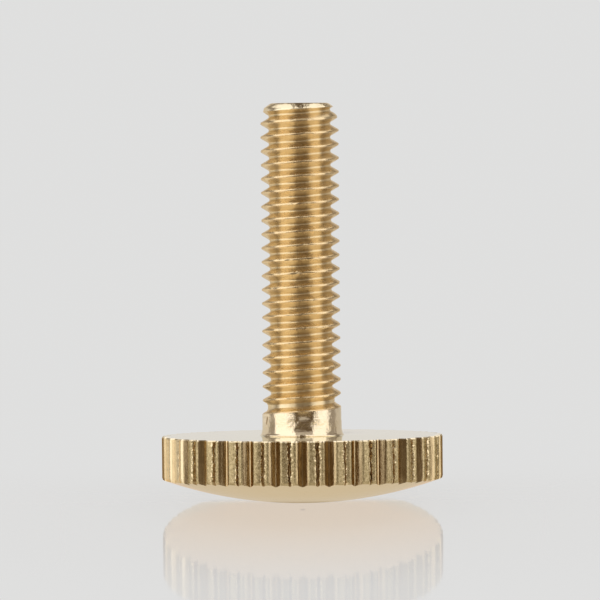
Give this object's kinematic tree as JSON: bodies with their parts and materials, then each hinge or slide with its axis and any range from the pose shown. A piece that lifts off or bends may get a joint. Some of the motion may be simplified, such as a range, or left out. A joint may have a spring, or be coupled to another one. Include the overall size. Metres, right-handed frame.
{
  "type": "thumb screw",
  "caption": "Brass thumb screw with a thin knurled head, a domed outer face, a short plain neck and a right-hand metric thread, turned from one piece.",
  "frame": {"origin": "pole of the head's dome, the point that the screw stands on", "axes": "+Z along the screw's axis, from the dome towards the threaded end; +X and +Y pass through knurl grooves"},
  "size_m": [0.0142, 0.0142, 0.0202],
  "materials": {
    "brass": "turned, bright"
  },
  "bodies": {
    "root": {"thumb_screw": "brass"}
  },
  "joints": []
}
